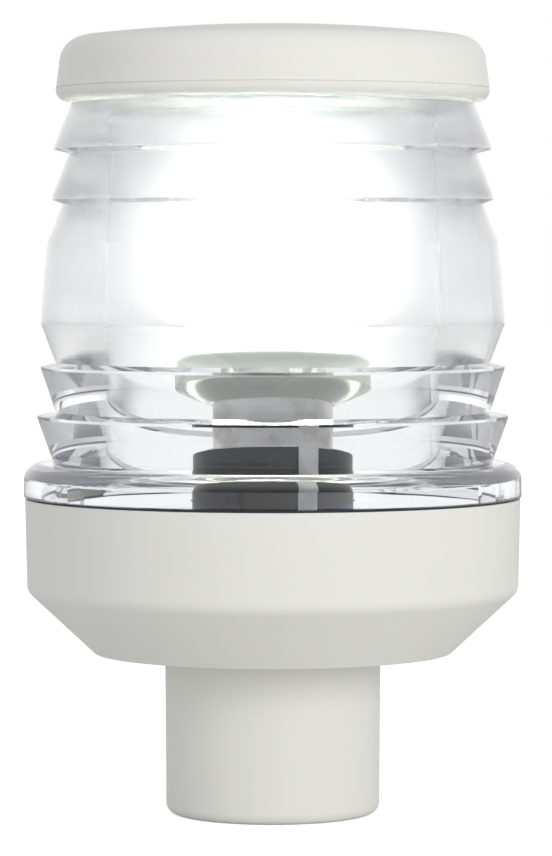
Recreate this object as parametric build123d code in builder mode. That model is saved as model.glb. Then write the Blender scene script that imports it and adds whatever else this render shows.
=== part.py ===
"""All-round (360 degree) masthead navigation light that plugs onto a tube pole.

Millimetres, +Z up. The origin is the centre of the stem's lower end, where the pole goes in.
-Y is the front. Angles are counted from +X, anticlockwise seen from above.
"""

import os
from math import cos, degrees, radians, sin

from build123d import *

# ---------------------------------------------------------------- driving dimensions
# Housing: a drafted cup on a conical floor, with the pole socket below it
pole_radius = 11.0  # 22 mm tube pole
pole_clearance = 0.1
socket_depth = 24.0
socket_floor = 3.2
stem_wall = 2.4
stem_draft = 0.15
stem_length = 20.2
stem_edge_radius = 1.3
base_radius = 22.4
cone_height = 7.75
barrel_height = 11.55
body_radius = 30.95
body_draft = 0.25
body_wall = 2.05
floor_thickness = 2.5
knuckle_radius = 1.8  # rounding where the barrel meets the cone

# Bayonet between lens and housing
gate_count = 2
gate_angle = -23.5  # centre of the first gate
toe_angle = 27.0
lock_turn = 14.0
bayonet_play = 1.0  # degrees on each side of a toe
toe_height = 1.5
toe_depth = 1.8
ledge_depth = 2.3
ledge_height = 1.6
stop_angle = 2.0
fit_gap = 0.2  # running clearance between parts that move past each other
slip_gap = 0.1  # clearance between parts that only slide together when built

# Reflector and gasket
reflector_thickness = 1.0
reflector_recess = 0.5  # how far its mirror face lies below the housing's rim
reflector_lip = 0.6
gasket_thickness = 0.3
gasket_inset = 0.25

# Lens: flange, two lower prisms, belt, two upper prisms, collar
flange_overhang = 0.15
flange_wall = 2.05
flange_height = 4.1
flange_roof = 2.1
flange_edge_radius = 2.1
belt_inset = 2.0  # belt's widest radius, in from the housing
belt_height = 10.1
belt_lean = 0.85
belt_crown = 0.08
belt_slope_height = 4.8
lens_step = 0.3  # short neck between the flange and the lowest prism
lower_pitch = 6.15
upper_pitch = 6.25
prism_land = 0.35  # blunt end of each prism
prism_rake = 0.5  # how far a prism's flat side leans
lower_roots = (3.45, 3.8)  # root radii, in from the housing radius, bottom up
lower_tips = (1.55, 2.0)
upper_roots = (4.75, 5.55, 5.85)
upper_tips = (3.45, 3.7)
lens_wall_foot = 9.35  # cavity radius, in from the housing radius, at the foot
lens_draft = 1.2
lens_roof = 3.8
cavity_corner = 3.0

# Cap
cap_radius = 27.2
cap_wall = 2.0
cap_height = 9.35
cap_draft = 1.0
cap_dome = 1.65
cap_flat = 3.0  # level middle of the crown
cap_shoulder = 3.3
cap_edge_radius = 1.3
cap_plug = 2.6  # how deep the lens's collar stands in the cap
cap_seam_height = 1.55
cap_seam_depth = 0.12
cap_rib_width = 1.2
gate_mark_width = 0.5
gate_mark_depth = 0.3
gate_mark_angle = -28.0

# Lampholder
holder_radius = 10.1
holder_shoulder = 1.4
holder_height = 11.5  # above the reflector's seat
holder_foot = 4.5  # below the reflector's seat
holder_hub_radius = 6.5
holder_hub_height = 3.5
ear_radius = 4.0
ear_thickness = 2.0
latch_width = 2.2
latch_height = 1.9
latch_reach = 1.1
latch_angle = -118.0
strip_angle = -65.0
strip_width = 2.6
strip_thickness = 0.5
blade_width = 4.8
blade_thickness = 0.8
blade_length = 6.0
screw_radius = 1.4
screw_head_radius = 2.7
screw_head_height = 1.7
screw_length = 9.0
post_radius = 3.2

# Bayonet shell and bulb
cap15_radius = 7.6  # 15 mm bayonet bulb cap
cap15_length = 16.1
cap15_wall = 0.4
shell_clearance = 0.15
shell_thickness = 0.4
shell_lip = 1.25
shell_lip_height = 0.6
pin_radius = 1.0
pin_reach = 1.0
pin_height = 6.9  # pins above the bulb's centre contact
pin_play = 0.1
bulb_turn = 22.0
push_travel = 1.5
contact_radius = 2.4
contact_height = 2.1
contact_stem_radius = 1.2
contact_stem_gap = 0.08
spring_wire = 0.5
spring_turns = 5
collar_radius = 12.4
collar_cone = 1.9
collar_rim = 3.2
collar_chamfer = 0.8
board_thickness = 1.0
tower_flats = 8.0
tower_height = 9.4
led_rows = 3
led_size = (2.8, 1.9, 0.7)
dome_radius = 9.6
dome_wall = 1.0
dome_height = 12.6

# Grommet and pole screw
cable_radius = 3.0
grommet_radius = 6.0
grommet_flange = 1.2
grommet_neck = 4.0
pole_screw_radius = 2.0
pole_screw_length = 4.0
pole_screw_height = 8.0
pole_screw_socket = 2.0  # across flats
pole_screw_angle = 90.0

# ---------------------------------------------------------------- heights and radii that follow
socket_radius = pole_radius + pole_clearance
stem_radius = socket_radius + stem_wall
z_knuckle = stem_length + cone_height
z_rim = z_knuckle + barrel_height
z_floor = stem_length + floor_thickness
z_socket_top = socket_depth + socket_floor
barrel_foot_radius = body_radius - body_draft
inner_radius = body_radius - body_wall

z_mirror = z_rim - reflector_recess
z_seat = z_mirror - reflector_thickness
z_ledge = z_seat - ledge_height
z_toe_top = z_ledge - fit_gap
z_toe = z_toe_top - toe_height
ledge_radius = inner_radius - ledge_depth
toe_outer = inner_radius - fit_gap - slip_gap
toe_inner = toe_outer - toe_depth
gate_half = toe_angle / 2 + bayonet_play
neck_angle = toe_angle - lock_turn  # so that the neck stays in its gate all the way
gates = [gate_angle + 360 / gate_count * i for i in range(gate_count)]

z_lens = z_rim + gasket_thickness
z_flange_top = z_lens + flange_height
z_flange_roof = z_flange_top - flange_roof
flange_radius = body_radius + flange_overhang
flange_inner = flange_radius - flange_wall
z_lower = z_flange_top + lens_step
z_belt_foot = z_lower + lower_pitch * len(lower_tips)
z_belt_low = z_belt_foot + belt_slope_height
z_belt_high = z_belt_low + belt_height
z_upper = z_belt_high + belt_slope_height
z_collar = z_upper + upper_pitch * len(upper_tips)
z_lens_top = z_collar + cap_plug
belt_radius = body_radius - belt_inset
collar_outer = body_radius - upper_roots[-1]
cavity_foot = body_radius - lens_wall_foot
cavity_top = cavity_foot - lens_draft
z_cavity_top = z_lens_top - lens_roof

z_cap = z_collar + 0.3
z_cap_top = z_cap + cap_height
cap_inner = collar_outer + slip_gap
cap_outer = max(cap_radius, cap_inner + cap_wall)

z_holder_top = z_seat + holder_height
z_holder_foot = z_seat - holder_foot
z_hub = z_holder_foot - holder_hub_height
shoulder_radius = holder_radius + holder_shoulder
boss_radius = stem_radius
post_place = boss_radius + post_radius + slip_gap
blade_place = boss_radius + 1.5

shell_inner = cap15_radius + shell_clearance
shell_outer = shell_inner + shell_thickness
holder_bore = cap15_radius + pin_reach + 0.35
z_contact = z_seat + 0.7  # the bulb's centre contact at rest
z_pins = z_contact + pin_height
z_bulb_skirt = z_contact + 0.9
z_bulb_collar = z_bulb_skirt + cap15_length
z_bore_floor = z_contact - push_travel - 0.3
z_chamber = z_hub + 1.5
z_rim_low = z_bulb_collar + collar_cone
z_rim_high = z_rim_low + collar_rim
z_board = z_rim_high + collar_chamfer
z_tower = z_board + board_thickness
z_shell_foot = z_pins - push_travel - pin_radius - 2.0


def polar(radius, angle):
    """The point at that radius and angle in the XY plane."""
    return radius * cos(radians(angle)), radius * sin(radians(angle))


def radial_plane(angle):
    """Upright plane through the Z axis: its x is the radius at that angle, its y is +Z."""
    return Plane(origin=(0, 0, 0), x_dir=(*polar(1, angle), 0), z_dir=(*polar(1, angle - 90), 0))


def half_section(*points):
    """Flat outline in the XZ plane, to be revolved about Z into a ring or a disc."""
    with BuildSketch(Plane.XZ, mode=Mode.PRIVATE) as section:
        with BuildLine():
            Polyline(*points, close=True)
        make_face()
    return section.sketch


def sector(inner, outer, low, high, start, end):
    """A piece of ring between two radii, two heights and two angles, made outside any builder."""
    with BuildPart(mode=Mode.PRIVATE) as piece:
        with BuildSketch(radial_plane(start)):
            with Locations(((inner + outer) / 2, (low + high) / 2)):
                Rectangle(outer - inner, high - low)
        revolve(axis=Axis.Z, revolution_arc=end - start)
    return piece.part


def save(builder, name):
    """Labels a finished piece and writes it as its own STEP file."""
    builder.part.label = name
    export_step(builder.part, f"parts/{name}.step")


# ---------------------------------------------------------------- housing
def housing():
    """Cup, conical floor, stem and pole socket in one moulding, with posts, ledges and stops inside."""
    inner_foot = barrel_foot_radius - body_wall
    cone_slope = (barrel_foot_radius - base_radius) / cone_height
    floor_radius = inner_foot - (z_knuckle - z_floor) * cone_slope - 0.4
    with BuildPart() as body:
        section = half_section(
            (0, stem_length),
            (base_radius, stem_length),
            (barrel_foot_radius, z_knuckle),
            (body_radius, z_rim),
            (inner_radius, z_rim),
            (inner_radius - body_draft, z_knuckle + 0.6),
            (floor_radius, z_floor),
            (0, z_floor),
        )
        revolve(section, axis=Axis.Z)
        knuckle = body.edges().filter_by(GeomType.CIRCLE).filter_by_position(
            Axis.Z, z_knuckle - 0.01, z_knuckle + 0.01
        )
        fillet(knuckle.sort_by(SortBy.RADIUS)[-1], knuckle_radius)
        section = half_section(
            (0, 0),
            (stem_radius - stem_draft, 0),
            (stem_radius, stem_length),
            (boss_radius, z_socket_top),
            (0, z_socket_top),
        )
        revolve(section, axis=Axis.Z)
        fillet(body.edges().group_by(Axis.Z)[0], stem_edge_radius)
        # pole socket, and the cable hole with its seat for the grommet
        with BuildSketch(Plane.XY):
            Circle(socket_radius)
        extrude(amount=socket_depth, mode=Mode.SUBTRACT)
        with BuildSketch(Plane.XY.offset(socket_depth)):
            Circle(grommet_radius + slip_gap)
        extrude(amount=grommet_flange, mode=Mode.SUBTRACT)
        with BuildSketch(Plane.XY.offset(socket_depth)):
            Circle(grommet_neck)
        extrude(amount=socket_floor, mode=Mode.SUBTRACT)
        # screw posts under the lampholder's ears
        with BuildSketch(Plane.XY.offset(z_floor - 0.5)):
            with Locations((post_place, 0), (-post_place, 0)):
                Circle(post_radius)
        extrude(amount=z_holder_foot - z_floor + 0.5)
        with BuildSketch(Plane.XY.offset(z_holder_foot)):
            with Locations((post_place, 0), (-post_place, 0)):
                Circle(screw_radius + slip_gap / 2)
        extrude(amount=-(screw_length - ear_thickness + 0.5), mode=Mode.SUBTRACT)
        # ledge under the reflector, open at the gates, with a stop below it for each toe
        add(sector(ledge_radius, inner_radius + body_wall / 2, z_ledge, z_seat, 0, 360))
        for gate in gates:
            add(
                sector(
                    ledge_radius - 1,
                    inner_radius,
                    z_ledge - 1,
                    z_seat + 0.5,
                    gate - gate_half,
                    gate + gate_half,
                ),
                mode=Mode.SUBTRACT,
            )
            stop_end = gate - toe_angle / 2 - lock_turn - bayonet_play / 2
            add(
                sector(
                    ledge_radius,
                    inner_radius + body_wall / 2,
                    z_toe,
                    z_ledge,
                    stop_end - stop_angle,
                    stop_end,
                )
            )
        # hole for the screw that holds the pole
        with BuildSketch(Plane(origin=(0, 0, pole_screw_height), z_dir=(*polar(1, pole_screw_angle), 0))):
            Circle(pole_screw_radius + slip_gap / 2)
        extrude(amount=stem_radius + 1, mode=Mode.SUBTRACT)
    save(body, "housing")


def pole_screw():
    """Hexagon-socket set screw that bears on the pole."""
    start = socket_radius + slip_gap
    outward = (*polar(1, pole_screw_angle), 0)
    centre = (*polar(start, pole_screw_angle), pole_screw_height)
    with BuildPart() as screw:
        with BuildSketch(Plane(origin=centre, z_dir=outward)):
            Circle(pole_screw_radius)
        extrude(amount=pole_screw_length)
        chamfer(screw.edges().filter_by(GeomType.CIRCLE), 0.3)
        end = (*polar(start + pole_screw_length, pole_screw_angle), pole_screw_height)
        with BuildSketch(Plane(origin=end, z_dir=outward)):
            RegularPolygon(pole_screw_socket / 2, 6, major_radius=False)
        extrude(amount=-pole_screw_length / 2, mode=Mode.SUBTRACT)
    save(screw, "pole_screw")


def cable_grommet():
    """Rubber grommet that closes the housing's floor round the cable."""
    top = z_socket_top + grommet_flange
    with BuildPart() as grommet:
        section = half_section(
            (cable_radius, socket_depth),
            (grommet_radius, socket_depth),
            (grommet_radius, socket_depth + grommet_flange),
            (grommet_neck, socket_depth + grommet_flange),
            (grommet_neck, z_socket_top),
            (grommet_radius, z_socket_top),
            (grommet_radius, top - grommet_flange / 2),
            (grommet_neck, top),
            (cable_radius, top),
        )
        revolve(section, axis=Axis.Z)
    save(grommet, "cable_grommet")


# ---------------------------------------------------------------- reflector and gasket
def reflector():
    """Metallised mirror plate that closes the housing round the lampholder."""
    outer = inner_radius - fit_gap
    lip_foot = outer - reflector_lip
    with BuildPart() as plate:
        section = half_section(
            (holder_radius + fit_gap, z_seat),
            (outer, z_seat),
            (outer, z_mirror + reflector_lip),
            (lip_foot, z_mirror),
            (holder_radius + fit_gap, z_mirror),
        )
        revolve(section, axis=Axis.Z)
        for gate in gates:
            add(
                sector(
                    ledge_radius,
                    outer + 1,
                    z_seat - 1,
                    z_mirror + reflector_lip + 1,
                    gate - gate_half,
                    gate + gate_half,
                ),
                mode=Mode.SUBTRACT,
            )
    save(plate, "reflector")


def lens_gasket():
    """Thin flat ring between the housing's rim and the lens's flange."""
    with BuildPart() as gasket:
        with BuildSketch(Plane.XY.offset(z_rim)):
            Circle(body_radius - gasket_inset)
            Circle(flange_inner + gasket_inset, mode=Mode.SUBTRACT)
        extrude(amount=gasket_thickness)
    save(gasket, "lens_gasket")


# ---------------------------------------------------------------- lens and cap
def lens_outline():
    """Half section of the lens's outside, from the top of the flange to the top of the collar."""
    points = [(body_radius - lower_roots[0], z_flange_top)]
    roots = [body_radius - inset for inset in lower_roots] + [body_radius - lower_roots[-1]]
    for level, inset in enumerate(lower_tips):
        low = z_lower + lower_pitch * level
        tip = low + lower_pitch - prism_rake
        points += [
            (roots[level], low),
            (body_radius - inset, tip - prism_land),
            (body_radius - inset, tip),
        ]
    points.append((roots[-1], z_belt_foot))
    points.append((belt_radius, z_belt_low))
    return points


def upper_outline():
    """The same from the top of the belt up."""
    points = [(belt_radius - belt_lean, z_belt_high)]
    for level, inset in enumerate(upper_tips):
        low = z_upper + upper_pitch * level
        points += [
            (body_radius - upper_roots[level], low),
            (body_radius - inset, low + prism_rake),
            (body_radius - inset, low + prism_rake + prism_land),
        ]
    points.append((collar_outer, z_collar))
    points.append((collar_outer, z_lens_top))
    return points


def lens():
    """Clear drum lens: flange, prisms and belt outside, smooth drafted cavity, bayonet tabs below."""
    flange_side = flange_radius - 0.05
    belt_middle = (belt_radius - belt_lean / 2 + belt_crown, (z_belt_low + z_belt_high) / 2)
    with BuildPart() as drum:
        with BuildSketch(Plane.XZ) as section:
            with BuildLine():
                low = lens_outline()
                high = upper_outline()
                Polyline((0, z_lens_top), (0, z_cavity_top), (cavity_top, z_cavity_top),
                         (cavity_foot, z_flange_roof), (flange_inner, z_flange_roof),
                         (flange_inner, z_lens), (flange_radius, z_lens),
                         (flange_side, z_flange_top), *low)
                ThreePointArc(low[-1], belt_middle, high[0])
                Polyline(*high, (0, z_lens_top))
            make_face()
            shoulder = section.vertices().filter_by(
                lambda v: abs(v.X - flange_side) < 0.01 and abs(v.Y - z_flange_top) < 0.01
            )
            fillet(shoulder, flange_edge_radius)
            corner = section.vertices().filter_by(
                lambda v: abs(v.X - cavity_top) < 0.01 and abs(v.Y - z_cavity_top) < 0.01
            )
            fillet(corner, cavity_corner)
        revolve(axis=Axis.Z)
        for gate in gates:
            toe_end = gate + toe_angle / 2
            add(sector(toe_inner, toe_outer, z_toe, z_toe_top, gate - toe_angle / 2, toe_end))
            add(
                sector(
                    toe_inner,
                    toe_outer,
                    z_toe,
                    z_flange_roof + flange_roof / 4,
                    toe_end - neck_angle,
                    toe_end,
                )
            )
    save(drum, "lens")


def top_cap():
    """Opaque cap over the lens's collar, with a seam line near its lower edge and ribs inside."""
    ceiling = z_cap_top - cap_dome - cap_wall
    rib_foot = z_lens_top + slip_gap
    seam = z_cap + cap_seam_height
    with BuildPart() as cap:
        with BuildSketch(Plane.XZ) as section:
            with BuildLine():
                Polyline((cap_flat, z_cap_top), (0, z_cap_top), (0, ceiling), (cap_inner, ceiling),
                         (cap_inner, z_cap), (cap_outer, z_cap),
                         (cap_outer - cap_draft, z_cap_top - cap_dome))
                Spline(
                    (cap_flat, z_cap_top),
                    (cap_outer / 2, z_cap_top - cap_dome / 4),
                    (cap_outer - cap_draft, z_cap_top - cap_dome),
                    tangents=((1, 0), (cap_outer, -2 * cap_dome)),
                )
            make_face()
            corner = section.vertices().filter_by(lambda v: abs(v.X - cap_outer + cap_draft) < 0.01)
            fillet(corner, cap_shoulder)
            edge = section.vertices().filter_by(lambda v: abs(v.X - cap_outer) < 0.01)
            fillet(edge, cap_edge_radius)
        revolve(axis=Axis.Z)
        side = cap_outer - cap_draft * cap_seam_height / (cap_height - cap_dome)
        section = half_section(
            (side - cap_seam_depth, seam),
            (side + 0.5, seam - 0.35),
            (side + 0.5, seam + 0.35),
        )
        revolve(section, axis=Axis.Z, mode=Mode.SUBTRACT)
        with BuildSketch(Plane.XY.offset(rib_foot)):
            for turn in (0, 90):
                Rectangle(2 * cap_inner + cap_wall / 2, cap_rib_width, rotation=turn)
        extrude(amount=ceiling - rib_foot)
        # trace of the mould's gate
        with BuildSketch(Plane.XY.offset(z_cap - 1)):
            with PolarLocations(cap_outer, 1, start_angle=gate_mark_angle):
                Rectangle(2 * gate_mark_depth, gate_mark_width)
        extrude(amount=1 + cap_seam_height + 2 * cap_seam_depth, mode=Mode.SUBTRACT)
    save(cap, "top_cap")


# ---------------------------------------------------------------- lampholder
def lampholder_body():
    """Black moulded lampholder: barrel through the reflector, eared foot, hub with the spring chamber."""
    z_latch = z_mirror + 0.05
    with BuildPart() as holder:
        section = half_section(
            (0, z_hub),
            (holder_hub_radius, z_hub),
            (holder_hub_radius, z_holder_foot),
            (shoulder_radius, z_holder_foot),
            (shoulder_radius, z_seat),
            (holder_radius, z_seat),
            (holder_radius, z_holder_top),
            (0, z_holder_top),
        )
        revolve(section, axis=Axis.Z)
        with BuildSketch(Plane.XY.offset(z_holder_foot)):
            SlotCenterToCenter(2 * post_place, 2 * ear_radius)
        extrude(amount=ear_thickness)
        with BuildSketch(Plane.XY.offset(z_holder_foot)):
            with Locations((post_place, 0), (-post_place, 0)):
                Circle(screw_radius + slip_gap)
        extrude(amount=ear_thickness, mode=Mode.SUBTRACT)
        with BuildSketch(Plane.XY.offset(z_bore_floor)):
            Circle(holder_bore)
        extrude(amount=z_holder_top - z_bore_floor, mode=Mode.SUBTRACT)
        with BuildSketch(Plane.XY.offset(z_chamber)):
            Circle(contact_radius + fit_gap)
        extrude(amount=z_bore_floor - z_chamber, mode=Mode.SUBTRACT)
        with BuildSketch(Plane.XY.offset(z_hub)):
            Circle(contact_stem_radius + contact_stem_gap)
        extrude(amount=z_chamber - z_hub, mode=Mode.SUBTRACT)
        # the shell is held by a rib under its foot
        add(sector(shell_inner + 0.05, holder_bore + 0.5, z_bore_floor, z_shell_foot, 0, 360))
        # latches that hold the reflector down
        for angle in (latch_angle, latch_angle + 180):
            half = degrees(latch_width / 2 / holder_radius)
            add(
                sector(
                    holder_radius - 0.5,
                    holder_radius + latch_reach,
                    z_latch,
                    z_latch + latch_height,
                    angle - half,
                    angle + half,
                )
            )
        # groove down the barrel and through the foot for the contact strip
        with BuildSketch(radial_plane(strip_angle)):
            with Locations((holder_radius + 2, (z_holder_foot + z_holder_top) / 2)):
                Rectangle(2 * (2 + strip_thickness + slip_gap), z_holder_top - z_holder_foot + 2)
        extrude(amount=strip_width / 2 + slip_gap, both=True, mode=Mode.SUBTRACT)
    save(holder, "lampholder_body")


def holder_screws():
    """The two pan-head screws that hold the lampholder to its posts, as one group of solids."""
    top = z_holder_foot + ear_thickness
    with BuildPart() as screws:
        with Locations((post_place, 0, top), (-post_place, 0, top)):
            Cylinder(screw_head_radius, screw_head_height, align=(Align.CENTER, Align.CENTER, Align.MIN))
        fillet(screws.edges().group_by(Axis.Z)[-1], 0.6)
        with Locations((post_place, 0, top), (-post_place, 0, top)):
            Cylinder(screw_radius, screw_length, align=(Align.CENTER, Align.CENTER, Align.MAX))
        with Locations((post_place, 0, top + screw_head_height), (-post_place, 0, top + screw_head_height)):
            for turn in (0, 90):
                Box(2.6, 0.6, 2.2, rotation=(0, 0, turn), mode=Mode.SUBTRACT)
    save(screws, "holder_screws")


def bayonet_shell():
    """Nickelled socket tube with a turned-out lip and two J slots for the bulb's pins."""
    half = degrees((pin_radius + pin_play) / shell_inner)
    low = z_pins - push_travel - pin_radius - pin_play
    passage = low + 2 * (pin_radius + pin_play)
    with BuildPart() as shell:
        section = half_section(
            (shell_inner, z_shell_foot),
            (shell_outer, z_shell_foot),
            (shell_outer, z_holder_top),
            (shell_outer + shell_lip, z_holder_top),
            (shell_outer + shell_lip, z_holder_top + shell_lip_height / 2),
            (shell_inner, z_holder_top + shell_lip_height),
        )
        revolve(section, axis=Axis.Z)
        for pin in (0, 180):
            entry = pin + bulb_turn
            inside, outside = shell_inner - 1, shell_outer + shell_lip + 1
            top = z_holder_top + 1
            add(sector(inside, outside, low, passage, pin - half, entry + half), mode=Mode.SUBTRACT)
            add(sector(inside, outside, low, top, entry - half, entry + half), mode=Mode.SUBTRACT)
            add(
                sector(inside, shell_outer + 0.5, low, z_pins + pin_radius + 0.02, pin - half, pin + half),
                mode=Mode.SUBTRACT,
            )
    save(shell, "bayonet_shell")


def shell_strip():
    """Tinned strip from the shell's lip down the barrel to its push-on blade."""
    inner = holder_radius - strip_thickness
    z_bend = z_holder_foot - strip_thickness
    lip = shell_outer + shell_lip
    with BuildPart() as strip:
        with BuildSketch(radial_plane(strip_angle)):
            with Locations((holder_radius - strip_thickness / 2, (z_bend + z_holder_top + 0.2) / 2)):
                Rectangle(strip_thickness, z_holder_top + 0.2 - z_bend)
            with Locations(((lip + inner) / 2 + 0.1, z_holder_top + 0.1)):
                Rectangle(inner - lip + 0.2, 0.2)
        extrude(amount=strip_width / 2, both=True)
        with BuildSketch(radial_plane(strip_angle)):
            with Locations(((inner + blade_place) / 2, z_bend + strip_thickness / 2)):
                Rectangle(blade_place - inner, strip_thickness)
            with Locations((blade_place - blade_thickness / 2, z_bend + strip_thickness - blade_length / 2)):
                Rectangle(blade_thickness, blade_length)
        extrude(amount=blade_width / 2, both=True)
    save(strip, "shell_strip")


def centre_terminal():
    """Brass eyelet under the hub with its push-on blade."""
    with BuildPart() as terminal:
        with BuildSketch(Plane.XY.offset(z_hub - blade_thickness)):
            Circle(holder_hub_radius - 1.5)
            with Locations((0, blade_place / 2)):
                Rectangle(blade_width, blade_place)
            Circle(contact_stem_radius + fit_gap, mode=Mode.SUBTRACT)
        extrude(amount=blade_thickness)
        with BuildSketch(Plane.XY.offset(z_hub)):
            with Locations((0, blade_place - blade_thickness / 2)):
                Rectangle(blade_width, blade_thickness)
        extrude(amount=-blade_length)
    save(terminal, "centre_terminal")


def centre_contact():
    """Spring-loaded plunger that presses on the bulb's centre contact."""
    head = z_contact - contact_height
    with BuildPart() as contact:
        section = half_section(
            (0, z_hub - blade_thickness + 0.2),
            (contact_stem_radius, z_hub - blade_thickness + 0.2),
            (contact_stem_radius, head),
            (contact_radius, head),
            (contact_radius, z_contact),
            (0, z_contact),
        )
        revolve(section, axis=Axis.Z)
        fillet(contact.edges().group_by(Axis.Z)[-1], 0.6)
    save(contact, "centre_contact")


def contact_spring():
    """Compression spring between the chamber's floor and the plunger's head."""
    height = z_contact - contact_height - z_chamber - spring_wire - 0.1
    radius = contact_stem_radius + (contact_radius - contact_stem_radius) / 2 + 0.1
    with BuildPart() as spring:
        with BuildLine():
            Helix(height / spring_turns, height, radius, center=(0, 0, z_chamber + spring_wire / 2 + 0.05))
        with BuildSketch(Plane(origin=(radius, 0, z_chamber + spring_wire / 2 + 0.05), z_dir=(0, 1, 0))):
            Circle(spring_wire / 2)
        sweep(is_frenet=True)
    save(spring, "contact_spring")


# ---------------------------------------------------------------- bulb
def bulb_cap():
    """Nickelled bayonet cap of the bulb."""
    inner = cap15_radius - cap15_wall
    with BuildPart() as cap:
        section = half_section(
            (inner - 0.6, z_bulb_skirt),
            (cap15_radius - 0.8, z_bulb_skirt),
            (cap15_radius, z_bulb_skirt + 0.8),
            (cap15_radius, z_bulb_collar),
            (inner, z_bulb_collar),
            (inner, z_bulb_skirt + 1.0),
            (inner - 0.6, z_bulb_skirt + 0.4),
        )
        revolve(section, axis=Axis.Z)
    save(cap, "bulb_cap")


def bulb_pins():
    """The two bayonet pins, as one group of solids."""
    with BuildPart() as pins:
        for angle in (0, 180):
            centre = (*polar(cap15_radius - cap15_wall / 2, angle), z_pins)
            with BuildSketch(Plane(origin=centre, z_dir=(*polar(1, angle), 0))):
                Circle(pin_radius)
            extrude(amount=pin_reach + cap15_wall / 2)
        with BuildSketch(Plane.XY.offset(z_pins - 2 * pin_radius)):
            Circle(cap15_radius)
        extrude(amount=4 * pin_radius, mode=Mode.SUBTRACT)
        fillet(pins.edges().group_by(Axis.X)[-1], 0.25)
        fillet(pins.edges().group_by(Axis.X)[0], 0.25)
    save(pins, "bulb_pins")


def bulb_insulator():
    """Black glass that closes the cap's lower end."""
    with BuildPart() as insulator:
        section = half_section(
            (0, z_contact + 0.4),
            (contact_radius, z_contact + 0.4),
            (cap15_radius - cap15_wall - 0.6, z_bulb_skirt),
            (cap15_radius - cap15_wall - 0.6, z_bulb_skirt + 0.4),
            (cap15_radius - cap15_wall, z_bulb_skirt + 1.0),
            (cap15_radius - cap15_wall, z_bulb_skirt + 3.0),
            (0, z_bulb_skirt + 3.0),
        )
        revolve(section, axis=Axis.Z)
    save(insulator, "bulb_insulator")


def bulb_contact():
    """Solder pad in the middle of the insulator."""
    with BuildPart() as contact:
        with BuildSketch(Plane.XY.offset(z_contact)):
            Circle(contact_radius)
        extrude(amount=0.4)
        fillet(contact.edges().group_by(Axis.Z)[0], 0.25)
    save(contact, "bulb_contact")


def bulb_collar():
    """Moulded collar between the metal cap and the light tower."""
    with BuildPart() as collar:
        section = half_section(
            (0, z_bulb_collar - 2.5),
            (cap15_radius - cap15_wall, z_bulb_collar - 2.5),
            (cap15_radius - cap15_wall, z_bulb_collar),
            (cap15_radius + 0.3, z_bulb_collar),
            (collar_radius, z_rim_low),
            (collar_radius, z_rim_high),
            (collar_radius - collar_chamfer, z_board),
            (0, z_board),
        )
        revolve(section, axis=Axis.Z)
        fillet(collar.edges().group_by(Axis.Z)[-1], 0.3)
    save(collar, "bulb_collar")


def led_board():
    """Round board on the collar."""
    with BuildPart() as board:
        with BuildSketch(Plane.XY.offset(z_board)):
            Circle(dome_radius - dome_wall - slip_gap)
        extrude(amount=board_thickness)
    save(board, "led_board")


def led_tower():
    """Six-sided heat sink that carries the chips all round."""
    with BuildPart() as tower:
        with BuildSketch(Plane.XY.offset(z_tower)):
            RegularPolygon(tower_flats / 2, 6, major_radius=False)
        extrude(amount=tower_height)
        chamfer(tower.edges().group_by(Axis.Z)[-1], 0.4)
    save(tower, "led_tower")


def led_chips():
    """Rows of light-emitting chips on the tower's six sides and one on its top, as one group of solids."""
    width, height, depth = led_size
    pitch = tower_height / led_rows
    angles = [30 + 60 * side for side in range(6)]
    with BuildPart() as chips:
        for angle in angles:
            outward = Vector(*polar(1, angle))
            for row in range(led_rows):
                centre = outward * (tower_flats / 2) + Vector(0, 0, z_tower + pitch * (row + 0.5))
                with BuildSketch(Plane(origin=centre, x_dir=(0, 0, 1), z_dir=outward)):
                    Rectangle(height, width)
                extrude(amount=depth)
        with BuildSketch(Plane.XY.offset(z_tower + tower_height)):
            Rectangle(width, width)
        extrude(amount=depth)
    save(chips, "led_chips")


def bulb_dome():
    """Clear cover over the light tower."""
    top = z_board + dome_height
    inner = dome_radius - dome_wall
    with BuildPart() as dome:
        with BuildSketch(Plane.XZ) as section:
            with BuildLine():
                Polyline((inner, z_board), (dome_radius, z_board), (dome_radius, top), (0, top),
                         (0, top - dome_wall), (inner, top - dome_wall), (inner, z_board))
            make_face()
            fillet(section.vertices().filter_by(lambda v: abs(v.X - dome_radius) < 0.01)
                   .filter_by(lambda v: v.Y > z_board + 1), dome_radius / 2)
            fillet(section.vertices().filter_by(lambda v: abs(v.X - inner) < 0.01)
                   .filter_by(lambda v: v.Y > z_board + 1), dome_radius / 2 - dome_wall)
        revolve(axis=Axis.Z)
    save(dome, "bulb_dome")


os.makedirs("parts", exist_ok=True)
for build in (
    housing,
    pole_screw,
    cable_grommet,
    reflector,
    lens_gasket,
    lens,
    top_cap,
    lampholder_body,
    holder_screws,
    bayonet_shell,
    shell_strip,
    centre_terminal,
    centre_contact,
    contact_spring,
    bulb_cap,
    bulb_pins,
    bulb_insulator,
    bulb_contact,
    bulb_collar,
    led_board,
    led_tower,
    led_chips,
    bulb_dome,
):
    build()
print(f"rim {z_rim:.2f}, lens {z_lens:.2f} to {z_lens_top:.2f}, cap top {z_cap_top:.2f}")
print(f"holder top {z_holder_top:.2f}, bulb contact {z_contact:.2f}, pins {z_pins:.2f}, tower {z_tower:.2f}")
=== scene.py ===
# %% [markdown]
# # A masthead navigation light
#
# This lesson dresses a finished CAD model: a white all-round light for the top of a pole, with a
# clear prismatic lens, a mirror plate, a black lampholder and a lit bulb. Every piece already has
# its exact shape and its place. What is left for Blender is what the eye reads as real: how each
# surface takes the light, the small marks of its making, and a stage that lets clear plastic show.

import math

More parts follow.
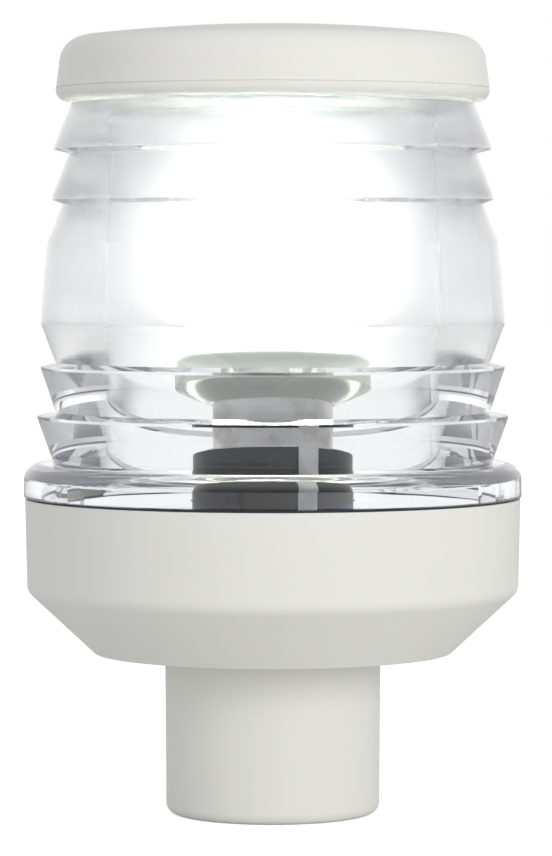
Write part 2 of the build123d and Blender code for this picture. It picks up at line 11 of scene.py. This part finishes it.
import bpy
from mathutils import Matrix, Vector


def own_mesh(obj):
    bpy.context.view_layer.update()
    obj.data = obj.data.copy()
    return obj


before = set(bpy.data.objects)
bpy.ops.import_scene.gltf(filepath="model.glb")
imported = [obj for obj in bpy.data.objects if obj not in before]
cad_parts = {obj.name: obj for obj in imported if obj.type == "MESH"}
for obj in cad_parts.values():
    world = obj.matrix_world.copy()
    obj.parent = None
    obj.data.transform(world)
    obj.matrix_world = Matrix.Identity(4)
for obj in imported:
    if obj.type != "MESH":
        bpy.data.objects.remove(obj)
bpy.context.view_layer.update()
print("pieces from the CAD model:", len(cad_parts))

# %% [markdown]
# ## Smooth shading
#
# The CAD mesh is made of flat facets. Smooth shading lets every turned surface shade as one, and
# each edge over a small angle is marked sharp, so real corners, such as a prism's edge, stay. The
# mesh itself doesn't change, and more facets would only make the model heavy.

# %% Shade turned surfaces smoothly
SHARP_ANGLE = math.radians(24)


def shade_by_angle(node, angle=SHARP_ANGLE):
    """Smooth shading on a CAD piece, with every edge over the angle kept sharp."""
    mesh = bpy.data.objects[node].data
    mesh.shade_smooth()
    mesh.set_sharp_from_angle(angle=angle)


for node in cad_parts:
    shade_by_angle(node)
print("shaded by angle:", round(math.degrees(SHARP_ANGLE)), "degrees")

# %% [markdown]
# ## Helpers for materials
#
# A material is a small network of nodes. The helpers below keep each recipe short: one starts a
# material with its main shader, one adds a node with its values, and one joins two sockets.
# Patterns are placed by the object's own coordinates, because the CAD pieces have no unwrapped
# surface to paint on, and so a pattern stays with its piece when the piece moves.

# %% Helpers for node networks
MIX_COLOR_SLOTS = (6, 7)
MIX_COLOR_RESULT = 2


def add_node(tree, kind, **settings):
    """Adds a node to a tree. Names are its properties; words with a capital are its inputs."""
    node = tree.nodes.new(kind)
    for name, value in settings.items():
        if name[0].isupper():
            node.inputs[name.replace("_", " ")].default_value = value
        else:
            setattr(node, name, value)
    return node


def join(tree, source, target):
    """Joins an output socket to an input socket."""
    tree.links.new(source, target)


def combine(tree, operation, first, second):
    """A math node over two values, each a number or a socket."""
    node = add_node(tree, "ShaderNodeMath", operation=operation)
    for value, slot in ((first, node.inputs[0]), (second, node.inputs[1])):
        if isinstance(value, float):
            slot.default_value = value
        else:
            join(tree, value, slot)
    return node.outputs[0]


def blend_colors(tree, factor, first, second):
    """A mix of two colours, each a constant or a socket."""
    mix = add_node(tree, "ShaderNodeMix", data_type="RGBA")
    join(tree, factor, mix.inputs["Factor"])
    first_slot, second_slot = (mix.inputs[index] for index in MIX_COLOR_SLOTS)
    for color, slot in ((first, first_slot), (second, second_slot)):
        if isinstance(color, tuple):
            slot.default_value = color
        else:
            join(tree, color, slot)
    return mix.outputs[MIX_COLOR_RESULT]


def noise_at(tree, place, **settings):
    """A noise pattern that follows the object's own coordinates."""
    noise = add_node(tree, "ShaderNodeTexNoise", **settings)
    join(tree, place.outputs["Object"], noise.inputs["Vector"])
    return noise


def start_material(name, color, roughness, metallic=0.0, **inputs):
    """A new material with a Principled shader set to the values given."""
    material = bpy.data.materials.new(name)
    material.use_nodes = True
    tree = material.node_tree
    shader = tree.nodes["Principled BSDF"]
    shader.inputs["Base Color"].default_value = (*color, 1.0)
    shader.inputs["Roughness"].default_value = roughness
    shader.inputs["Metallic"].default_value = metallic
    for socket, value in inputs.items():
        shader.inputs[socket.replace("_", " ")].default_value = value
    return material, tree, shader


def add_relief(tree, shader, height, strength, depth):
    """Turns a height into relief on a shader's surface."""
    bump = add_node(tree, "ShaderNodeBump", Strength=strength, Distance=depth)
    join(tree, height, bump.inputs["Height"])
    join(tree, bump.outputs["Normal"], shader.inputs["Normal"])


def lay_skin(tree, shader, skin, relief, depth):
    """Joins a skin group's colour, roughness and height to a shader."""
    join(tree, skin.outputs["Color"], shader.inputs["Base Color"])
    join(tree, skin.outputs["Roughness"], shader.inputs["Roughness"])
    add_relief(tree, shader, skin.outputs["Height"], relief, depth)


def dress(node, material):
    """Puts a material on every slot of a CAD piece."""
    slots = bpy.data.objects[node].data.materials
    slots.clear()
    slots.append(material)


print("helpers ready; mixed colours come out of a Mix node's output", MIX_COLOR_RESULT)


# %% [markdown]
# ## Moulded grain: a group for every moulded part
#
# Injection moulding leaves a faint texture from the tool and slow waves where the plastic shrank.
# Both are wanted on the housing, the cap, the lampholder and the bulb's collar, so they are one
# node group with named inputs: sizes of grain and wave, a colour, and how far the colour drifts.

# %% Build the moulded grain group
NOISE_MIDDLE = 0.5
GRAIN_HEIGHT = 0.25
SKIN_OUTPUTS = [
    ("Color", "NodeSocketColor"),
    ("Roughness", "NodeSocketFloat"),
    ("Height", "NodeSocketFloat"),
]


def new_group(name, inputs, outputs):
    """An empty shader group with its named sockets, and its two end nodes."""
    group = bpy.data.node_groups.new(name, "ShaderNodeTree")
    for label, kind, value in inputs:
        socket = group.interface.new_socket(label, in_out="INPUT", socket_type=kind)
        socket.default_value = value
    for label, kind in outputs:
        group.interface.new_socket(label, in_out="OUTPUT", socket_type=kind)
    return group, group.nodes.new("NodeGroupInput"), group.nodes.new("NodeGroupOutput")


def scale_and_add(tree, value, factor, offset):
    """A value times a factor, plus an offset, each a number or a socket."""
    node = add_node(tree, "ShaderNodeMath", operation="MULTIPLY_ADD")
    for part, slot in zip((value, factor, offset), node.inputs):
        if isinstance(part, float):
            slot.default_value = part
        else:
            join(tree, part, slot)
    return node.outputs[0]


def build_moulded_grain():
    """Colour, roughness and height of moulded plastic."""
    group, given, result = new_group(
        "moulded_grain",
        [
            ("Color", "NodeSocketColor", (0.8, 0.8, 0.8, 1.0)),
            ("Drift", "NodeSocketFloat", 0.02),
            ("Grain Scale", "NodeSocketFloat", 2600.0),
            ("Wave Scale", "NodeSocketFloat", 45.0),
            ("Roughness", "NodeSocketFloat", 0.4),
            ("Roughness Range", "NodeSocketFloat", 0.08),
        ],
        SKIN_OUTPUTS,
    )
    place = add_node(group, "ShaderNodeTexCoord")
    grain = noise_at(group, place, Detail=3.0)
    wave = noise_at(group, place, Detail=2.0)
    join(group, given.outputs["Grain Scale"], grain.inputs["Scale"])
    join(group, given.outputs["Wave Scale"], wave.inputs["Scale"])
    centred = combine(group, "SUBTRACT", wave.outputs["Fac"], NOISE_MIDDLE)
    tint = add_node(group, "ShaderNodeHueSaturation")
    join(group, given.outputs["Color"], tint.inputs["Color"])
    drift = scale_and_add(group, centred, given.outputs["Drift"], 1.0)
    join(group, drift, tint.inputs["Value"])
    rough = scale_and_add(
        group, centred, given.outputs["Roughness Range"], given.outputs["Roughness"]
    )
    height = scale_and_add(group, grain.outputs["Fac"], GRAIN_HEIGHT, wave.outputs["Fac"])
    join(group, tint.outputs["Color"], result.inputs["Color"])
    join(group, rough, result.inputs["Roughness"])
    join(group, height, result.inputs["Height"])
    return group


moulded_grain = build_moulded_grain()
print("group ready:", moulded_grain.name)

# %% [markdown]
# ## Moulded plastics
#
# The housing and the cap are white ABS: an even satin skin with a grain too fine to count. The
# lampholder is a black heat-proof plastic, and the bulb's collar is milky. One function places the
# group with each part's own values, and a Bump node turns its height into relief.

# %% Make the moulded plastics
GRAIN_DEPTH = 0.0004


def moulded_plastic(name, color, roughness, drift=0.02, relief=0.03, grain=2600.0, **inputs):
    """A moulded plastic with its grain."""
    material, tree, shader = start_material(name, color, roughness, **inputs)
    skin = add_node(tree, "ShaderNodeGroup", node_tree=moulded_grain)
    skin.inputs["Color"].default_value = (*color, 1.0)
    skin.inputs["Roughness"].default_value = roughness
    skin.inputs["Drift"].default_value = drift
    skin.inputs["Grain Scale"].default_value = grain
    lay_skin(tree, shader, skin, relief, GRAIN_DEPTH)
    return material


white_abs = moulded_plastic("white_abs", (0.80, 0.80, 0.755), 0.45, relief=0.05)
cap_abs = moulded_plastic("cap_abs", (0.80, 0.80, 0.76), 0.48, relief=0.05)
holder_black = moulded_plastic("holder_black", (0.018, 0.018, 0.02), 0.33, drift=0.3)
black_glass = moulded_plastic("black_glass", (0.01, 0.01, 0.012), 0.12, relief=0.01)
collar_milky = moulded_plastic(
    "collar_milky", (0.80, 0.84, 0.76), 0.28, drift=0.06, Transmission_Weight=0.1, IOR=1.46
)
board_white = moulded_plastic("board_white", (0.80, 0.82, 0.80), 0.5, drift=0.05)
for node, material in (
    ("housing", white_abs),
    ("top_cap", cap_abs),
    ("lampholder_body", holder_black),
    ("bulb_insulator", black_glass),
    ("bulb_collar", collar_milky),
    ("led_board", board_white),
):
    dress(node, material)
    print(node, "is", material.name)

# %% [markdown]
# ## Rubber
#
# The gasket shows as a thin dark line under the lens, and the grommet fills the socket's floor.
# Rubber is dark and nearly without gloss, with a dusty bloom, so it takes the same grain group
# with a coarser grain and a high roughness.

# %% Make the rubbers
gasket_rubber = moulded_plastic(
    "gasket_rubber", (0.045, 0.05, 0.085), 0.6, drift=0.3, grain=1500.0
)
grommet_rubber = moulded_plastic(
    "grommet_rubber", (0.022, 0.022, 0.022), 0.75, drift=0.5, grain=1200.0
)
for node, material in (("lens_gasket", gasket_rubber), ("cable_grommet", grommet_rubber)):
    dress(node, material)
    print(node, "is", material.name)

# %% [markdown]
# ## Worked metal: a group for every metal part
#
# Drawn, turned and plated metal is never evenly bright. Fine lines run round or along it, and the
# plating clouds a little. The group stretches a noise along the part's height into lines, mixes
# two tones by a slow cloud, and gives both as colour, roughness and height.

# %% Build the worked metal group
LINE_STRETCH = (0.06, 0.06, 1.0)
CLOUD_FROM = 0.42
CLOUD_TO = 0.68


def build_worked_metal():
    """Colour, roughness and height of drawn or turned metal."""
    group, given, result = new_group(
        "worked_metal",
        [
            ("Bright", "NodeSocketColor", (0.8, 0.8, 0.8, 1.0)),
            ("Dull", "NodeSocketColor", (0.5, 0.5, 0.5, 1.0)),
            ("Line Scale", "NodeSocketFloat", 900.0),
            ("Cloud Scale", "NodeSocketFloat", 220.0),
            ("Roughness", "NodeSocketFloat", 0.25),
            ("Roughness Range", "NodeSocketFloat", 0.2),
        ],
        SKIN_OUTPUTS,
    )
    place = add_node(group, "ShaderNodeTexCoord")
    stretch = add_node(group, "ShaderNodeMapping")
    stretch.inputs["Scale"].default_value = LINE_STRETCH
    join(group, place.outputs["Object"], stretch.inputs["Vector"])
    lines = add_node(group, "ShaderNodeTexNoise", Detail=4.0)
    join(group, stretch.outputs["Vector"], lines.inputs["Vector"])
    join(group, given.outputs["Line Scale"], lines.inputs["Scale"])
    clouds = noise_at(group, place, Detail=3.0)
    join(group, given.outputs["Cloud Scale"], clouds.inputs["Scale"])
    tone = add_node(group, "ShaderNodeMapRange")
    tone.inputs["From Min"].default_value = CLOUD_FROM
    tone.inputs["From Max"].default_value = CLOUD_TO
    join(group, clouds.outputs["Fac"], tone.inputs["Value"])
    dulled = tone.outputs["Result"]
    color = blend_colors(group, dulled, given.outputs["Bright"], given.outputs["Dull"])
    rough = scale_and_add(
        group, dulled, given.outputs["Roughness Range"], given.outputs["Roughness"]
    )
    join(group, color, result.inputs["Color"])
    join(group, rough, result.inputs["Roughness"])
    join(group, lines.outputs["Fac"], result.inputs["Height"])
    return group


worked_metal = build_worked_metal()
print("group ready:", worked_metal.name)

# %% [markdown]
# ## Metals
#
# Nickel on the bulb's cap and the socket, tin on the strips, turned brass on the plunger, drawn
# steel for the spring and machined steel for the screws. They differ only in colour, gloss and how
# coarse their lines are, so each is one line of values.

# %% Make the metals
LINE_DEPTH = 0.0002


def metal(name, bright, dull, roughness, lines=900.0, relief=0.08):
    """A metal with drawn lines and a clouded tone."""
    material, tree, shader = start_material(name, bright, roughness, metallic=1.0)
    skin = add_node(tree, "ShaderNodeGroup", node_tree=worked_metal)
    skin.inputs["Bright"].default_value = (*bright, 1.0)
    skin.inputs["Dull"].default_value = (*dull, 1.0)
    skin.inputs["Roughness"].default_value = roughness
    skin.inputs["Line Scale"].default_value = lines
    lay_skin(tree, shader, skin, relief, LINE_DEPTH)
    return material


nickel = metal("nickel", (0.74, 0.73, 0.70), (0.52, 0.51, 0.48), 0.2)
tinned = metal("tinned_strip", (0.70, 0.70, 0.69), (0.46, 0.46, 0.45), 0.28)
brass = metal("turned_brass", (0.78, 0.58, 0.27), (0.50, 0.36, 0.16), 0.22, lines=2400.0)
steel = metal("machined_steel", (0.62, 0.62, 0.62), (0.40, 0.40, 0.41), 0.3, lines=1600.0)
spring_wire = metal("spring_wire", (0.58, 0.58, 0.59), (0.36, 0.36, 0.38), 0.32)
solder = metal("solder", (0.66, 0.66, 0.67), (0.42, 0.42, 0.43), 0.45)
tower_metal = metal("tower_aluminium", (0.84, 0.84, 0.84), (0.62, 0.62, 0.63), 0.35)
for node, material in (
    ("bulb_cap", nickel),
    ("bulb_pins", nickel),
    ("bayonet_shell", nickel),
    ("shell_strip", tinned),
    ("centre_terminal", tinned),
    ("centre_contact", brass),
    ("contact_spring", spring_wire),
    ("bulb_contact", solder),
    ("holder_screws", steel),
    ("pole_screw", steel),
    ("led_tower", tower_metal),
):
    dress(node, material)
    print(node, "is", material.name)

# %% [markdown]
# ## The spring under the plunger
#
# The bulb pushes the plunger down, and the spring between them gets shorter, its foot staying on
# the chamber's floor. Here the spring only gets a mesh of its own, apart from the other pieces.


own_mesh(bpy.data.objects["contact_spring"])

# %% [markdown]
# ## The mirror plate
#
# The plate is thin plastic with a metal film, so it mirrors sharply but isn't truly flat: slow
# waves pull its reflections into streaks. A low, wide bump does that without touching the mesh.

# %% Make the mirror
MIRROR_WAVE_SCALE = 70.0
MIRROR_WAVE_RELIEF = 0.12
MIRROR_HAZE_SCALE = 260.0
MIRROR_HAZE = (0.005, 0.035)
SLOW_WAVE_DEPTH = 0.0006


def mirror_plate():
    """A metallised plate with slow waves and a trace of haze."""
    material, tree, shader = start_material("mirror_plate", (0.90, 0.905, 0.92), 0.03, metallic=1.0)
    place = add_node(tree, "ShaderNodeTexCoord")
    waves = noise_at(tree, place, Scale=MIRROR_WAVE_SCALE, Detail=1.0)
    haze = noise_at(tree, place, Scale=MIRROR_HAZE_SCALE, Detail=4.0)
    spread = add_node(tree, "ShaderNodeMapRange")
    spread.inputs["To Min"].default_value, spread.inputs["To Max"].default_value = MIRROR_HAZE
    join(tree, haze.outputs["Fac"], spread.inputs["Value"])
    join(tree, spread.outputs["Result"], shader.inputs["Roughness"])
    add_relief(tree, shader, waves.outputs["Fac"], MIRROR_WAVE_RELIEF, SLOW_WAVE_DEPTH)
    return material


dress("reflector", mirror_plate())
print("mirror roughness:", MIRROR_HAZE[0], "to", MIRROR_HAZE[1])

# %% [markdown]
# ## The clear lens
#
# The lens is solid polycarbonate, polished outside. Its inside wall comes off a drafted core that
# is a little rougher where the light passes, and that softens the lamp's glare into a wide glow.
# So the roughness depends on place: a mask is 1 near the core's radius and above the bulb's foot.
# Refraction does the rest, and a slow bump stands for the flow lines in thick clear plastic.
#
# Light that keeps reflecting inside the thick rings is cut off after a few turns, which would
# leave black patches at their ends. From the third reflection on, a faint violet grey glow is
# painted into the plastic instead: painted light in place of what a real ring would carry on.

# %% Make the lens
CORE_RADIUS = 0.0219
GLOW_FOOT = 0.054
GLOW_FULL = 0.066
CORE_ROUGHNESS = 0.42
TRAPPED_AFTER = 2.5
PAINTED_GLOW_STRENGTH = 0.08
PAINTED_GLOW_COLOR = (0.88, 0.88, 1.0, 1.0)
FLOW_SCALE = 55.0
FLOW_RELIEF = 0.06


def ramp(tree, socket, start, end, peak=1.0):
    """A smooth step from 0 at start to peak at end, along a socket's value."""
    step = add_node(tree, "ShaderNodeMapRange", interpolation_type="SMOOTHSTEP")
    step.inputs["From Min"].default_value = start
    step.inputs["From Max"].default_value = end
    step.inputs["To Max"].default_value = peak
    join(tree, socket, step.inputs["Value"])
    return step.outputs["Result"]


def clear_lens():
    """Clear plastic, polished outside and satin on its inside wall round the lamp, with a painted
    glow deep inside.
    """
    material, tree, shader = start_material(
        "clear_lens", (0.975, 0.985, 0.995), 0.0, Transmission_Weight=1.0, IOR=1.5
    )
    place = add_node(tree, "ShaderNodeTexCoord")
    parts = add_node(tree, "ShaderNodeSeparateXYZ")
    join(tree, place.outputs["Object"], parts.inputs["Vector"])
    flat = add_node(tree, "ShaderNodeCombineXYZ")
    join(tree, parts.outputs["X"], flat.inputs["X"])
    join(tree, parts.outputs["Y"], flat.inputs["Y"])
    radius = add_node(tree, "ShaderNodeVectorMath", operation="LENGTH")
    join(tree, flat.outputs["Vector"], radius.inputs[0])
    core = combine(tree, "LESS_THAN", radius.outputs["Value"], CORE_RADIUS)
    rise = ramp(tree, parts.outputs["Z"], GLOW_FOOT, GLOW_FULL, CORE_ROUGHNESS)
    join(tree, combine(tree, "MULTIPLY", core, rise), shader.inputs["Roughness"])
    path = add_node(tree, "ShaderNodeLightPath")
    # Painted light: past the third reflection the lens glows a faint violet grey, standing in for
    # light lost where rays are cut off.
    trapped = combine(tree, "GREATER_THAN", path.outputs["Glossy Depth"], TRAPPED_AFTER)
    painted_glow = combine(tree, "MULTIPLY", trapped, PAINTED_GLOW_STRENGTH)
    shader.inputs["Emission Color"].default_value = PAINTED_GLOW_COLOR
    join(tree, painted_glow, shader.inputs["Emission Strength"])
    flow = noise_at(tree, place, Scale=FLOW_SCALE, Detail=2.0)
    add_relief(tree, shader, flow.outputs["Fac"], FLOW_RELIEF, SLOW_WAVE_DEPTH)
    return material


dress("lens", clear_lens())
print("lens: satin inside", CORE_RADIUS * 1000, "mm from the axis, above", GLOW_FOOT * 1000, "mm")

# %% [markdown]
# ## The light source
#
# The chips are what shines: yellowish phosphor faces, far brighter than white. The dome over them
# is clear plastic with a faint frosting that catches their light, so it glows too. Emission on the
# shaders gives both, and it lights the parts around it as a lamp would.

# %% Make the chips and the dome
CHIP_STRENGTH = 45.0
DOME_STRENGTH = 7.0
GLOW_DRIFT_SCALE = 400.0
WHITE = (1.0, 1.0, 1.0, 1.0)


def glowing(name, color, strength, roughness, **inputs):
    """A surface that shines, with a slow drift in its brightness."""
    material, tree, shader = start_material(name, color, roughness, **inputs)
    shader.inputs["Emission Strength"].default_value = strength
    place = add_node(tree, "ShaderNodeTexCoord")
    noise = noise_at(tree, place, Scale=GLOW_DRIFT_SCALE, Detail=1.0)
    drift = blend_colors(tree, noise.outputs["Fac"], (*color, 1.0), WHITE)
    join(tree, drift, shader.inputs["Emission Color"])
    return material


led_light = glowing("led_light", (1.0, 0.95, 0.80), CHIP_STRENGTH, 0.4)
dome_glow = glowing(
    "dome_glow", (0.97, 1.0, 0.96), DOME_STRENGTH, 0.35, Transmission_Weight=0.6, IOR=1.46
)
for node, material in (("led_chips", led_light), ("bulb_dome", dome_glow)):
    dress(node, material)
    print(node, "is", material.name)

# %% [markdown]
# ## The floor
#
# The light stands on a plain pale floor. Seen directly it shines a little by itself, so that it
# reads white and keeps only the object's shadow. Seen through the clear plastic it does so only
# from some way off, and the grey floor close by draws the ends of the prisms.

# %% Lay the floor
FLOOR_SIZE = 6.0
FLOOR_LIFT = 0.62
GREY_UP_TO = 0.05
WHITE_FROM = 0.32


def floor_lift(tree, place, path):
    """How much the floor shines: fully to the camera, and through plastic only where it is far."""
    distance = add_node(tree, "ShaderNodeVectorMath", operation="LENGTH")
    join(tree, place.outputs["Object"], distance.inputs[0])
    far = ramp(tree, distance.outputs["Value"], GREY_UP_TO, WHITE_FROM)
    through = combine(tree, "MULTIPLY", far, path.outputs["Is Transmission Ray"])
    seen = combine(tree, "MAXIMUM", path.outputs["Is Camera Ray"], through)
    return combine(tree, "MULTIPLY", seen, FLOOR_LIFT)


def lay_floor():
    """A large pale floor that keeps the object's shadow."""
    mesh = bpy.data.meshes.new("floor")
    half = FLOOR_SIZE / 2
    corners = [(-half, -half, 0), (half, -half, 0), (half, half, 0), (-half, half, 0)]
    mesh.from_pydata(corners, [], [(0, 1, 2, 3)])
    floor = bpy.data.objects.new("floor", mesh)
    bpy.context.scene.collection.objects.link(floor)
    material, tree, shader = start_material("pale_floor", (0.80, 0.80, 0.80), 0.9)
    shader.inputs["Specular IOR Level"].default_value = 0.0
    shader.inputs["Emission Color"].default_value = WHITE
    place = add_node(tree, "ShaderNodeTexCoord")
    path = add_node(tree, "ShaderNodeLightPath")
    join(tree, floor_lift(tree, place, path), shader.inputs["Emission Strength"])
    mesh.materials.append(material)


lay_floor()
print("floor:", FLOOR_SIZE, "m wide")

# %% [markdown]
# ## The surroundings
#
# Clear plastic and a mirror show only what they bend and reflect, so the world isn't one white. It
# is white behind and overhead for the light it sheds, and a violet grey low at the front. Plastic
# and mirror also meet two dark fields, as of black cards in a studio: one low at the front, which
# keeps the black lampholder black, and one high at the back, which darkens the mirror plate's
# rim. Towards both sides the white dims a little. Seen directly the world is plain white.
#
# Each value below pairs the direction where a field starts with the one where it is full. Both
# are parts of a direction of length 1: how far it points back, up or across.

# %% Set the surroundings
LIT_SIDE = (1.0, 1.0, 0.99, 1.0)
DIM_SIDE = (0.35, 0.35, 0.42, 1.0)
DARK_FIELD = (0.03, 0.032, 0.034, 1.0)
SURROUND_LIGHT = 0.67
LIT_BACK = (-0.35, 0.60)
LIT_ABOVE = (0.15, 0.70)
LIT_ABOVE_SHARE = 0.9
BACK_HALF = (0.0, 0.2)
FRONT_FIELD = (-0.55, -0.85)
FRONT_FIELD_TOP = (0.35, 0.15)
HIGH_FIELD_FOOT = (0.44, 0.53)
HIGH_FIELD_TOP = (0.82, 0.74)
HIGH_FIELD_ENDS = (0.38, 0.24)
SIDES = (0.30, 0.65)
SIDES_SHARE = 0.22


def lit_part(tree, back, up):
    """How white the world is: fully at the back, and nearly so overhead."""
    overhead = ramp(tree, up, *LIT_ABOVE, LIT_ABOVE_SHARE)
    return combine(tree, "MAXIMUM", ramp(tree, back, *LIT_BACK), overhead)


def dark_fields(tree, across, back, up):
    """Where the dark fields stand: low at the front, high at the back, faintly at the sides."""
    from_behind = ramp(tree, back, *BACK_HALF)
    front = combine(
        tree, "MULTIPLY", ramp(tree, back, *FRONT_FIELD), ramp(tree, up, *FRONT_FIELD_TOP)
    )
    high = combine(
        tree, "MULTIPLY", ramp(tree, up, *HIGH_FIELD_FOOT), ramp(tree, up, *HIGH_FIELD_TOP)
    )
    narrow = combine(tree, "MULTIPLY", ramp(tree, across, *HIGH_FIELD_ENDS), from_behind)
    high_narrow = combine(tree, "MULTIPLY", high, narrow)
    sides = combine(tree, "MULTIPLY", ramp(tree, across, *SIDES, SIDES_SHARE), from_behind)
    return combine(tree, "MAXIMUM", combine(tree, "MAXIMUM", front, high_narrow), sides)


def blend_backgrounds(tree, factor, first, second):
    """A mix of two background shaders."""
    mix = add_node(tree, "ShaderNodeMixShader")
    join(tree, factor, mix.inputs["Fac"])
    join(tree, first.outputs[0], mix.inputs[1])
    join(tree, second.outputs[0], mix.inputs[2])
    return mix


def set_surroundings():
    """A world that lights evenly, shows structure to clear plastic, and is white to the camera."""
    world = bpy.data.worlds.new("surroundings")
    bpy.context.scene.world = world
    world.use_nodes = True
    sky = world.node_tree
    sky.nodes.clear()
    direction = add_node(sky, "ShaderNodeTexCoord")
    axes = add_node(sky, "ShaderNodeSeparateXYZ")
    join(sky, direction.outputs["Generated"], axes.inputs["Vector"])
    back, up = axes.outputs["Y"], axes.outputs["Z"]
    sideways = add_node(sky, "ShaderNodeMath", operation="ABSOLUTE")
    join(sky, axes.outputs["X"], sideways.inputs[0])
    across = sideways.outputs[0]

    even = blend_colors(sky, lit_part(sky, back, up), DIM_SIDE, LIT_SIDE)
    shaped = blend_colors(sky, dark_fields(sky, across, back, up), even, DARK_FIELD)
    shed = add_node(sky, "ShaderNodeBackground", Strength=SURROUND_LIGHT)
    join(sky, even, shed.inputs["Color"])
    shown = add_node(sky, "ShaderNodeBackground", Strength=1.0)
    join(sky, shaped, shown.inputs["Color"])
    plain = add_node(sky, "ShaderNodeBackground", Strength=1.0, Color=WHITE)

    path = add_node(sky, "ShaderNodeLightPath")
    glossy, through = path.outputs["Is Glossy Ray"], path.outputs["Is Transmission Ray"]
    bent = combine(sky, "MAXIMUM", glossy, through)
    indirect = blend_backgrounds(sky, bent, shed, shown)
    whole = blend_backgrounds(sky, path.outputs["Is Camera Ray"], indirect, plain)
    ending = add_node(sky, "ShaderNodeOutputWorld")
    join(sky, whole.outputs[0], ending.inputs["Surface"])


set_surroundings()
print("world:", bpy.context.scene.world.name)

# %% [markdown]
# ## Lamps
#
# The white plastic is lighter on the right and a soft grey on the left. One large lamp stands at
# the right front, and a weaker one fills the left, both wide enough to leave soft edges only.

# %% Hang the lamps
MIDDLE = (0.0, 0.0, 0.05)
LAMP_COLOR = (1.0, 0.99, 0.97)


def set_up(thing, place, aim):
    """Links a lamp or a camera to the scene, at a place and facing a point."""
    thing.location = place
    thing.rotation_euler = (Vector(aim) - Vector(place)).to_track_quat("-Z", "Y").to_euler()
    bpy.context.scene.collection.objects.link(thing)


def area_lamp(name, place, size, power):
    """A square lamp that faces the object's middle and isn't seen in mirror or plastic."""
    light = bpy.data.lights.new(name, "AREA")
    light.shape = "SQUARE"
    light.size = size
    light.energy = power
    light.color = LAMP_COLOR
    lamp = bpy.data.objects.new(name, light)
    lamp.visible_glossy = False
    lamp.visible_transmission = False
    set_up(lamp, place, MIDDLE)
    print(name, "sheds", power, "W")


area_lamp("key_right", (0.36, -0.54, 0.22), 0.35, 2.2)
area_lamp("fill_left", (-0.55, -0.35, 0.20), 0.40, 0.6)

# %% [markdown]
# ## The camera
#
# A long lens close to eye level with the prisms: it sees a little of the mirror plate from above
# and the underside of the cap from below.

# %% Place the camera
CAMERA_PLACE = (0.0, -0.52, 0.0711)
CAMERA_AIM = (0.0004, 0.0, 0.0482)
CAMERA_LENS = 175.0
SENSOR_WIDTH = 36.0
NEAREST = 0.01

eye = bpy.data.cameras.new("camera")
eye.lens = CAMERA_LENS
eye.sensor_width = SENSOR_WIDTH
eye.clip_start = NEAREST
camera = bpy.data.objects.new("camera", eye)
set_up(camera, CAMERA_PLACE, CAMERA_AIM)
bpy.context.scene.camera = camera
bpy.context.scene.view_settings.view_transform = "Standard"
print("camera:", CAMERA_LENS, "mm lens")
